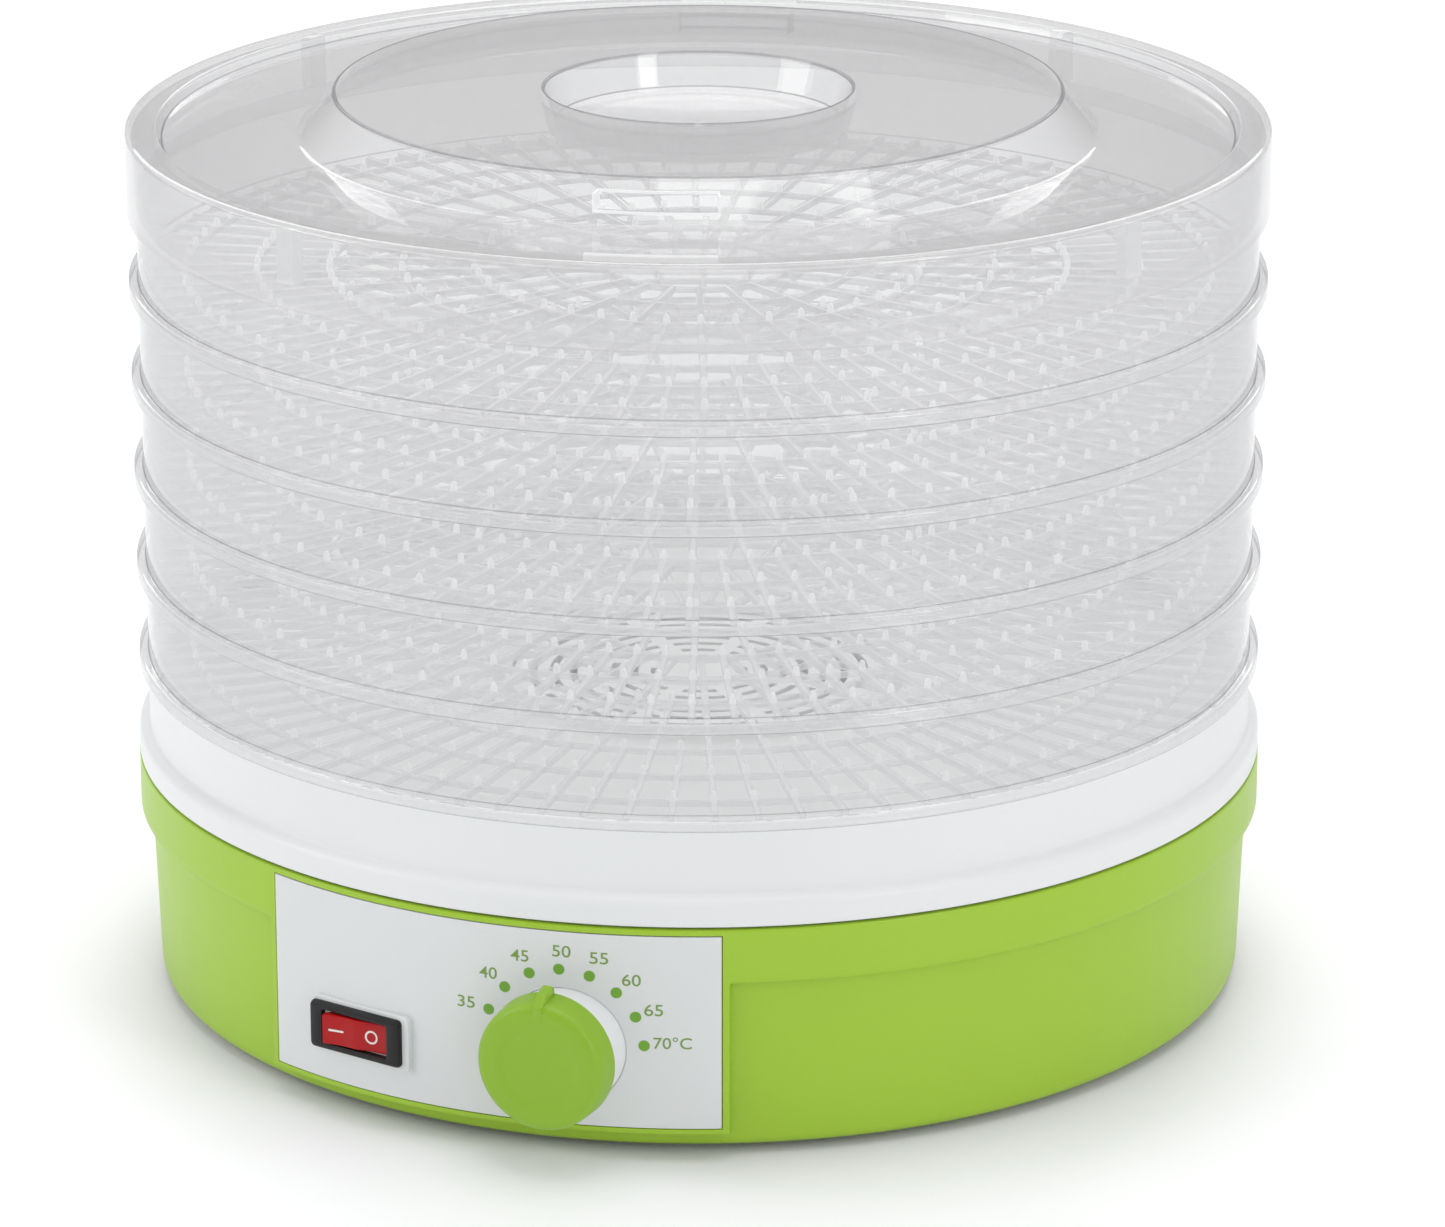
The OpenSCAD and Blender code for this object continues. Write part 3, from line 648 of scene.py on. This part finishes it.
def panel_plate():
    """Curved panel with the hole of the dial, and the flat pad of the switch."""
    bm = bmesh.new()
    width = 2 * PANEL_HALF * PANEL_R
    height = PANEL_TOP - PANEL_LOW
    columns = 96
    place = on_panel(0, PANEL_LOW + height / 2)
    section = fillet([
        (-height / 2, -PANEL_T), (-height / 2, 0, 0.2), (height / 2, 0, 0.2),
        (height / 2, -PANEL_T),
    ])
    rings = []
    for i in range(columns + 1):
        x = width * (i / columns - 0.5)
        inset = 0.15 if i in (0, columns) else 0
        rings.append([place(x, y, h - inset) for y, h in section])
    capped_skin(bm, rings)
    plate = piece("panel_plate", bm, PANEL_WHITE, "base", ["control_panel"])
    hole = lathe([(0, 0), (DIAL_HOLE_R, 0), (DIAL_HOLE_R, 40), (0, 40)], False, 96,
                 place=at_dial(DIAL_BACK))
    cut(plate, hole)

    bm = bmesh.new()
    loops = [
        (rounded_rect(33.4, 16.4, 1.5), -PANEL_T), (rounded_rect(33.4, 16.4, 1.5), 0.62),
        (rounded_rect(33.1, 16.1, 1.4), 0.76), (rounded_rect(32.6, 15.6, 1.2), 0.8),
    ]
    loops = [(shifted(points, 1.2), h) for points, h in loops]
    stack_loops(bm, loops, flat_at(SWITCH_ANGLE, SWITCH_Z))
    piece("switch_pad", bm, PANEL_WHITE, "base", ["control_panel"])


def print_mesh(bm, flat, place):
    """Lays a flat mesh on the panel as a thin print."""
    for v in flat.verts:
        v.co = place(v.co.x, v.co.y, PRINT_LIFT + v.co.z)
    join(bm, flat)


def text_mesh(words, cap_height, width):
    """A flat, thin mesh of a short text, centred, at a given height and width of the figures."""
    curve = bpy.data.curves.new("figures", "FONT")
    curve.body = words
    curve.align_x = "CENTER"
    curve.align_y = "CENTER"
    curve.extrude = 0.03
    curve.offset = 0.003
    curve.resolution_u = 6
    thing = bpy.data.objects.new("figures", curve)
    bpy.context.scene.collection.objects.link(thing)
    bpy.context.view_layer.update()
    flat = bmesh.new()
    flat.from_mesh(evaluated_mesh(thing))
    xs = [v.co.x for v in flat.verts]
    ys = [v.co.y for v in flat.verts]
    middle = ((min(xs) + max(xs)) / 2, (min(ys) + max(ys)) / 2)
    grow = (width / (max(xs) - min(xs)), cap_height / (max(ys) - min(ys)))
    for v in flat.verts:
        v.co.x = (v.co.x - middle[0]) * grow[0]
        v.co.y = (v.co.y - middle[1]) * grow[1]
    bpy.data.objects.remove(thing)
    bpy.data.curves.remove(curve)
    return flat


def scale_angle(degrees_c):
    """Angle on the dial of a temperature, counted up from the right."""
    return math.radians(SCALE_AT_50 - (degrees_c - 50) / 5 * SCALE_STEP)


def dial_print():
    """The dots and figures of the scale."""
    dots = bmesh.new()
    figures = bmesh.new()
    for degrees_c, (x, y) in LABEL_PLACES.items():
        a = scale_angle(degrees_c)
        flat = bmesh.new()
        circle = bmesh.ops.create_circle(flat, cap_ends=True, radius=DOT_R, segments=32)
        centre = (DOT_RING_R * math.cos(a), DOT_RING_R * math.sin(a), 0.02)
        bmesh.ops.translate(flat, vec=centre, verts=circle["verts"])
        print_mesh(dots, flat, on_panel(DIAL_ANGLE, DIAL_Z))
        if degrees_c == 70:
            flat = text_mesh("70°C", 3.5, 10.6)
        else:
            flat = text_mesh(str(degrees_c), 3.4, 5.2)
        bmesh.ops.translate(flat, vec=(x, y, 0), verts=flat.verts)
        print_mesh(figures, flat, on_panel(DIAL_ANGLE, DIAL_Z))
    piece("dial_dots", dots, PRINT_GREEN, "base")
    piece("dial_figures", figures, PRINT_OLIVE, "base")


# ---- knob ----

def at_dial(y):
    """Placement with z out of the front, on the knob axis at depth y."""
    return Matrix.Translation((DIAL_X, y, DIAL_Z)) @ Matrix.Rotation(math.pi / 2, 4, "X")


def dial_ring():
    """Flat white disc behind the knob."""
    face = DIAL_BACK - RING_FRONT
    profile = fillet([
        (5.2, face - 1.5), (5.2, face), (RING_R - 0.7, face, 0.3), (RING_R, face - 0.5, 0.5),
        (RING_R, 0), (RING_R - 2, 0), (RING_R - 2, face - 1.5),
    ])
    bm = lathe(profile, True, 96, place=at_dial(DIAL_BACK))
    piece("dial_ring", bm, RING_WHITE, "base", ["dial_boss"])


def knob():
    """Knob with a soft edge and a slightly sunk face, and its pointer fin."""
    back = KNOB_FRONT + KNOB_DEPTH
    profile = fillet([
        (3, 8), (3, 0.6), (5, 0.6, 0.3), (5, 4), (KNOB_R - 2.2, 4), (KNOB_R - 2.2, 0),
        (KNOB_R, 0, 0.4), (KNOB_R - 0.5, KNOB_DEPTH - 0.2, 3.6),
        (KNOB_R - 6.5, KNOB_DEPTH - 0.05, 3), (KNOB_R * 0.55, KNOB_DEPTH - 0.5, 5),
        (0, KNOB_DEPTH - 0.7),
    ], closed=False, steps=6)
    profile = [(0, 8)] + [tuple(p) for p in profile]
    bm = lathe(profile, False, 128, place=at_dial(back))
    piece("knob", bm, KNOB_GREEN, "knob", ["temperature_knob"])

    outline = fillet([
        (KNOB_R - 5, 0.8), (KNOB_R + 1.6, 0.8, 0.5), (KNOB_R + 2.8, 2.2, 0.9),
        (KNOB_R + 1.6, 6.6, 1.5), (KNOB_R - 1.2, KNOB_DEPTH - 0.1, 1.5), (KNOB_R - 5, KNOB_DEPTH)
    ], steps=5)
    widths = [(-1.5, 0.35), (-1.35, 0.08), (-1.1, 0), (1.1, 0), (1.35, 0.08), (1.5, 0.35)]
    middle = Vector((KNOB_R - 2, 5))
    place = at_dial(back)
    bm = bmesh.new()
    rings = []
    for side, inset in widths:
        shrunk = [p + (middle - p).normalized() * inset for p in outline]
        rings.append([place @ Vector((side, p[0], p[1])) for p in shrunk])
    capped_skin(bm, rings)
    piece("knob_pointer", bm, KNOB_GREEN, "knob")


# ---- switch ----

ROCKER_HALF = 10.4
ROCKER_SHOULDER = 2.8
ROCKER_PIVOT = -1.5
ROCKER_TILT = math.radians(8)
MARK_X = 5.6
MARK_LIFT = 0.02
MARK_H = 0.06


def switch():
    """Black bezel and body, red rocker with two dished halves, and its I and O marks."""
    bm = bmesh.new()
    place = flat_at(SWITCH_ANGLE, SWITCH_Z)
    stack_loops(bm, [
        (rounded_rect(22.4, 9.6, 0.4), -9.5), (rounded_rect(22.4, 9.6, 0.4), 2.0),
        (rounded_rect(22.8, 10.0, 0.6), 2.45), (rounded_rect(23.6, 10.8, 0.8), 2.6),
        (rounded_rect(29.2, 12.2, 1.0), 2.6), (rounded_rect(30.8, 13.4, 1.3), 2.3),
        (rounded_rect(31.4, 14.0, 1.4), 1.6), (rounded_rect(31.4, 14.0, 1.4), 0.8),
        (rounded_rect(28, 10.8, 0.6), 0.8), (rounded_rect(28, 10.8, 0.6), -19),
    ], place)
    piece("switch_bezel", bm, BLACK, "base", ["switch_housing"])

    half = ROCKER_HALF
    xs = [half * (k / 8 - 1) for k in range(17)]
    top = [(x, 4.35 - 0.55 * math.sin(math.pi * abs(x) / half)) for x in xs]
    outline = [(-4, -3.5), (4, -3.5), (half, ROCKER_SHOULDER)] + top[::-1]
    outline.append((-half, ROCKER_SHOULDER))
    c, s = math.cos(ROCKER_TILT), math.sin(ROCKER_TILT)
    bm = bmesh.new()
    rings = []
    for y, inset in [(-4.4, 0.35), (-4.3, 0.12), (-4.0, 0), (4.0, 0), (4.3, 0.12), (4.4, 0.35)]:
        ring = []
        for x, z in outline:
            x, z = x * (1 - inset / half), z - inset * (1 if z > 0 else -1)
            ring.append(place(x * c + z * s, y, ROCKER_PIVOT - x * s + z * c))
        rings.append(ring)
    capped_skin(bm, rings)
    surface = BVHTree.FromBMesh(bm)
    piece("rocker_cap", bm, RED, "rocker", ["switch_rocker"], 30)

    inward = place(0, 0, 0) - place(0, 0, 1)
    def drop(x, y, h):
        hit = surface.ray_cast(place(x, y, 12), inward)[0]
        return hit - inward * (MARK_LIFT + h)
    marks = bmesh.new()
    stroke = shifted(rounded_rect(4.6, 0.6, 0.2, 3), -MARK_X)
    stack_loops(marks, [(stroke, 0), (stroke, MARK_H)], drop)
    turns = [2 * math.pi * k / 40 for k in range(40)]
    outside, inside = [
        [(MARK_X + r * math.cos(a), r * math.sin(a)) for a in turns] for r in (2.0, 1.45)
    ]
    stack_loops(marks, [
        (inside, 0), (outside, 0), (outside, MARK_H), (inside, MARK_H), (inside, 0)
    ], drop, capped=False)
    piece("rocker_marks", marks, MARK_WHITE, "rocker")


# ---- trays ----

RIBS = 84
RIB_W = 2.2
RIB_H = 2.15
HUB_R = 26.0
RING_RADII = [STACK_R - 16 - 21 * k for k in range(6)]
TRAY_TURNS = [2.0, -0.3, -0.5, -0.4, 1.1]
TRAY_GAP = 0.05  # left between a tray and the one above
NUB_FOOT = 1.6
NUB_PROFILE = [(0, 2.9), (0.5, 2.75), (0.85, 2.2), (1.0, 0.9), (1.1, 0)]


def tray_wall_mesh():
    top = PITCH - TRAY_GAP
    profile = fillet([
        (WALL_IN, 0, 0.5), (WALL_OUT + 0.4, 0, 0.3), (WALL_OUT + 0.4, -FLANGE_DROP, 0.3),
        (STACK_R, -FLANGE_DROP, 0.7), (STACK_R, 2, 0.9), (WALL_OUT, 2, 0.5),
        (WALL_OUT, top, 0.5), (WALL_IN, top, 0.5),
    ])
    return lathe(profile, True)


def rib(bm, start, end):
    """A floor rib with a crowned top from one radius to another along +X."""
    half = RIB_W / 2
    section = [
        (-half * 0.8, 0), (-half, RIB_H * 0.55), (-half * 0.7, RIB_H * 0.9), (0, RIB_H),
        (half * 0.7, RIB_H * 0.9), (half, RIB_H * 0.55), (half * 0.8, 0),
    ]
    capped_skin(bm, [[Vector((x, y, z)) for y, z in section] for x in (start, end)])


def rib_start(i):
    """Every fourth rib reaches the air hole, every second the fifth ring, the rest the third."""
    if i % 4 == 0:
        return HUB_R
    return RING_RADII[4] if i % 2 == 0 else RING_RADII[2]


def tray_floor_mesh():
    bm = bmesh.new()
    for i in range(RIBS):
        one = bmesh.new()
        rib(one, rib_start(i), WALL_IN + 0.6)
        turn = Matrix.Rotation(2 * math.pi * i / RIBS, 3, "Z")
        bmesh.ops.rotate(one, cent=(0, 0, 0), matrix=turn, verts=one.verts)
        join(bm, one)
    half = RIB_W / 2 * 0.85
    for radius in RING_RADII + [HUB_R]:
        section = [
            (radius - half * 0.8, 0.05), (radius + half * 0.8, 0.05), (radius + half, 1.1),
            (radius + half * 0.6, 1.7), (radius, 1.85), (radius - half * 0.6, 1.7),
            (radius - half, 1.1),
        ]
        lathe(section, True, 168, bm=bm)
    return bm


def tray_nub_mesh():
    """Small domes where the ribs cross the outer rings."""
    bm = bmesh.new()
    for i in range(RIBS):
        turn = Matrix.Rotation(2 * math.pi * i / RIBS, 4, "Z")
        for radius in RING_RADII[:3] if i % 2 else RING_RADII[:5]:
            place = turn @ Matrix.Translation((radius, 0, NUB_FOOT))
            lathe(NUB_PROFILE, False, 10, bm=bm, place=place)
    return bm


def lets_light_through(thing):
    """Clear pieces don't darken what they stand in front of."""
    thing.visible_shadow = False
    thing.visible_diffuse = False


def trays():
    """Each tray is turned a little against the one below and sits a pitch higher."""
    parts = (("wall", tray_wall_mesh(), CLEAR_WALL), ("floor", tray_floor_mesh(), CLEAR_GRID),
             ("nubs", tray_nub_mesh(), CLEAR_NUB))
    for word, bm, material in parts:
        mesh = mesh_in_metres(f"tray_{word}", bm)
        smooth(mesh, 40)
        mesh.materials.append(material)
        if word == "wall":
            # Painted highlight on top of the flange, painted shade under it and at the crease of
            # the wall.
            tint_edges(mesh, [
                (STACK_R, 2, 0.5, CLEAR_PAINTED_HIGHLIGHT), (STACK_R, -FLANGE_DROP, 0.5, CLEAR_PAINTED_SHADE),
                (WALL_OUT, 2, 0.35, CLEAR_PAINTED_SHADE),
            ])
        for i, seat in enumerate(SEATS):
            placed = mesh.copy()
            placed.transform(Matrix.Translation((0, 0, seat * MM))
                             @ Matrix.Rotation(math.radians(TRAY_TURNS[i]), 4, "Z"))
            thing = bpy.data.objects.new(f"tray_{i + 1}_{word}", placed)
            hang(thing, f"tray_body_{i + 1}", [TRAYS[i]])
            lets_light_through(thing)
        bpy.data.meshes.remove(mesh)


# ---- lid ----

LID_WALL = 2
LID_FOOT = LID_LOW + 0.05
FLAT_Z = RIM_Z - 3
RIM_IN = STACK_R - 9
FLAT_R = STACK_R - 10.5
CROWN_R = 105.0
CONE_FOOT = CROWN_R + 10.5
WELL_R = 44.5
WELL_FLOOR_R = WELL_R - 3
WELL_Z = LID_TOP - 11.5
DISH_RISE = 1.4
LID_TURN = math.radians(23.5)
VENT_BACK = 7.5  # degrees that the vent slots stand back from the turn of the lid
MARK_BACK = 6.3
VENT_R = CROWN_R + 6
KEY_W = 6.6
SIDES = (0, math.pi)


def lid_angle(side, back):
    """Angle of a feature of the lid on its front (0) or back (pi) side."""
    return side + LID_TURN - math.radians(back) + FRONT


def lid():
    """Clear lid: shell with vent slots, painted highlight and shade lines on its edges, vent lips
    with a painted highlight in front and painted shade at the back, keys inside and marks on the
    rim.
    """
    dish = [(r, WELL_Z + DISH_RISE * (r / WELL_FLOOR_R) ** 2) for r in range(0, 40, 3)]
    outer = fillet([
        (STACK_R, LID_FOOT, 0.4), (STACK_R, RIM_Z, 1.6), (RIM_IN, RIM_Z, 0.5),
        (FLAT_R, FLAT_Z, 0.6), (CONE_FOOT, FLAT_Z, 2.0), (CROWN_R, LID_TOP, 0.4),
        (WELL_R, LID_TOP, 0.3), (WELL_FLOOR_R, WELL_Z + DISH_RISE, 0.8)
    ] + dish[::-1], closed=False, steps=5)
    inner = fillet([(r, z - LID_WALL) for r, z in dish] + [
        (WELL_R - 1.2, WELL_Z - 0.7, 0.8), (WELL_R + 1.6, LID_TOP - LID_WALL, 0.3),
        (CROWN_R - 0.8, LID_TOP - LID_WALL, 0.4), (CONE_FOOT - 0.8, FLAT_Z - LID_WALL, 1.5),
        (STACK_R - 8.8, FLAT_Z - LID_WALL, 0.8), (STACK_R - 7.4, RIM_Z - LID_WALL, 0.6),
        (STACK_R - 1.8, RIM_Z - LID_WALL, 0.8), (STACK_R - 1.8, LID_FOOT, 0.3),
        (STACK_R - 1.79, LID_FOOT)
    ], closed=False, steps=5)
    profile = [tuple(p) for p in outer] + [tuple(p) for p in inner]
    bm = lathe(profile[::-1], False, 288)
    bmesh.ops.remove_doubles(bm, verts=bm.verts, dist=1e-4)
    edges = [e for e in bm.edges if e.is_boundary]
    bmesh.ops.bridge_loops(bm, edges=edges)
    shell = piece("lid_shell", bm, CLEAR_LID, "lid_body", ["lid"])
    vents = bmesh.new()
    half = 17 / VENT_R
    for side in SIDES:
        slot_ring(vents, CROWN_R - 3, CONE_FOOT + 4, FLAT_Z + 3.5, FLAT_Z + 8,
                  lid_angle(side, VENT_BACK) - half, 2 * half)
    cut(shell, vents)
    # Painted highlight lines on the rim and foot, painted shade lines on the creases of the flat,
    # crown and well.
    tint_edges(shell.data, [
        (STACK_R - 0.4, RIM_Z - 0.4, 0.5, CLEAR_PAINTED_HIGHLIGHT), (RIM_IN, RIM_Z, 0.4, CLEAR_PAINTED_HIGHLIGHT),
        (FLAT_R, FLAT_Z, 0.4, CLEAR_PAINTED_SHADE), (CROWN_R, LID_TOP, 0.5, CLEAR_PAINTED_SHADE),
        (WELL_R, LID_TOP, 0.7, CLEAR_PAINTED_SHADE), (WELL_FLOOR_R, WELL_Z + DISH_RISE, 0.4, CLEAR_PAINTED_SHADE),
        (STACK_R, LID_LOW, 0.5, CLEAR_PAINTED_HIGHLIGHT),
    ])
    lets_light_through(shell)
    vent_lips()
    lid_keys()
    lid_marks()


def vent_lips():
    """The edges of the vent slots as thin slivers, with a painted highlight where they catch the
    light in front and painted shade where they look dark at the back.
    """
    slope = (CONE_FOOT - CROWN_R) / (LID_TOP - FLAT_Z)
    half = 17.4 / VENT_R
    sliver = 0.006
    # The front slivers carry the painted highlight, the back ones the painted shade.
    for word, side, material in (("front", 0, CLEAR_LIP_HIGHLIGHT), ("back", math.pi, CLEAR_PAINTED_SHADE)):
        lips = bmesh.new()
        a = lid_angle(side, VENT_BACK)
        for z in (FLAT_Z + 3.3, FLAT_Z + 8.2):
            r = CONE_FOOT - slope * (z - FLAT_Z)
            slot_ring(lips, r - 0.7, r + 0.25, z - 0.3, z + 0.3, a - half, 2 * half)
        for end in (-half, half - sliver):
            slot_ring(lips, CROWN_R + 2.2, CONE_FOOT - 2.6, FLAT_Z + 3.2, FLAT_Z + 8.3,
                      a + end, sliver, 1)
        lips = piece(f"lid_vent_painted_edges_{word}", lips, material, "lid_body")
        lets_light_through(lips)


def lid_keys():
    """Four keys inside the rim, which stand on the top tray."""
    keys = bmesh.new()
    key_top = RIM_Z - 1.9
    high = key_top - STACK_TOP
    loops = [
        (rounded_rect(KEY_W - 0.5, high - 0.3, 0.4, 3), WALL_IN - 1.2),
        (rounded_rect(KEY_W, high, 0.5, 3), WALL_IN - 0.8),
        (rounded_rect(KEY_W, high, 0.5, 3), STACK_R - 1.7),
    ]
    for k in range(4):
        turn = Matrix.Rotation(math.radians(45 + 90 * k) + LID_TURN + FRONT, 4, "Z")
        def place(x, y, h, turn=turn):
            return turn @ Vector((h, x, y + (STACK_TOP + key_top) / 2))
        stack_loops(keys, loops, place)
    # The keys are drawn in the painted highlight edge material.
    keys = piece("lid_keys", keys, CLEAR_PAINTED_HIGHLIGHT, "lid_body")
    lets_light_through(keys)


def lid_marks():
    """A low mark in the rim at the front and back, and the gate mark in the finger well."""
    marks = bmesh.new()
    half = 18 / RIM_IN
    for side in SIDES:
        slot_ring(marks, STACK_R - 10.2, STACK_R - 8.4, RIM_Z - 1.5, RIM_Z + 0.25,
                  lid_angle(side, MARK_BACK) - half, 2 * half)
    gate = [(0, WELL_Z + 0.45), (0.9, WELL_Z + 0.4), (1.3, WELL_Z + 0.1), (1.3, WELL_Z - 0.3)]
    lathe(gate, False, 24, bm=marks)
    marks = piece("lid_marks", marks, CLEAR_NUB, "lid_body")
    lets_light_through(marks)


# ---- studio ----

def floor():
    """Plain pale floor."""
    bm = bmesh.new()
    lathe([(0, 0), (600, 0), (1500, 0), (4000, 0), (9000, 0)], False, 96, bm=bm)
    mesh = mesh_in_metres("floor", bm, outward=False)
    mesh.materials.append(moulded("paper", (0.96, 0.96, 0.96), 0.6))
    thing = bpy.data.objects.new("floor", mesh)
    bpy.context.scene.collection.objects.link(thing)


def softbox(name, place, target, size, power):
    """A rectangular light that faces a target."""
    light = bpy.data.lights.new(name, "AREA")
    light.shape = "RECTANGLE"
    light.size, light.size_y = size
    light.energy = power
    thing = bpy.data.objects.new(name, light)
    thing.location = place
    thing.rotation_euler = (Vector(target) - Vector(place)).to_track_quat("-Z", "Y").to_euler()
    thing.visible_camera = False
    bpy.context.scene.collection.objects.link(thing)


def studio():
    """A room that is white to the camera, dimmer as light and dimmer still in mirrors."""
    world = bpy.data.worlds.new("studio")
    world.use_nodes = True
    nodes, links = world.node_tree.nodes, world.node_tree.links

    def room(node, colour, strength):
        node.inputs["Color"].default_value = (*colour, 1)
        node.inputs["Strength"].default_value = strength
        return node.outputs["Background"]

    def choose(ray, otherwise, shown):
        mix = nodes.new("ShaderNodeMixShader")
        links.new(path.outputs[ray], mix.inputs["Fac"])
        links.new(otherwise, mix.inputs[1])
        links.new(shown, mix.inputs[2])
        return mix.outputs["Shader"]

    path = nodes.new("ShaderNodeLightPath")
    lit = room(nodes["Background"], (0.97, 0.98, 1.0), 0.60)
    seen = room(nodes.new("ShaderNodeBackground"), (1, 1, 1), 1.0)
    mirrored = room(nodes.new("ShaderNodeBackground"), (1, 0.985, 0.98), 0.40)
    other = choose("Is Glossy Ray", lit, mirrored)
    links.new(choose("Is Camera Ray", other, seen), nodes["World Output"].inputs["Surface"])
    bpy.context.scene.world = world
    softbox("top", (0.1, 0.1, 1.7), (0, 0, 0.2), (1.5, 1.3), 11)
    softbox("left", (-1.5, -0.9, 0.9), (0, 0, 0.12), (0.9, 1.3), 9)
    softbox("right", (1.7, -0.9, 0.9), (0, 0, 0.12), (0.5, 1.3), 8)
    softbox("back", (-0.82, 2.04, 1.75), (-0.1, 0.2, 0.9), (2.4, 1.6), 26)
    bpy.context.scene.view_settings.view_transform = "Standard"
    bpy.context.scene.cycles.transparent_max_bounces = 24


def camera():
    """The photograph's view: 21.9 degrees right of the front, 18.2 degrees down."""
    azimuth = math.radians(21.9)
    distance = 1.808
    data = bpy.data.cameras.new("camera")
    data.lens = 160.4
    data.sensor_width = 36
    data.clip_end = 30
    thing = bpy.data.objects.new("camera", data)
    thing.location = (distance * math.sin(azimuth), -distance * math.cos(azimuth), 0.7006)
    thing.rotation_euler = (math.radians(90 - 18.23), 0, azimuth - math.radians(0.22))
    bpy.context.scene.collection.objects.link(thing)
    bpy.context.scene.camera = thing


paint_cad_nodes()
camera()
studio()
floor()
lower_housing()
feet()
deck()
cord_bush()
panel_plate()
dial_print()
dial_ring()
knob()
switch()
trays()
lid()

bpy.context.view_layer.update()
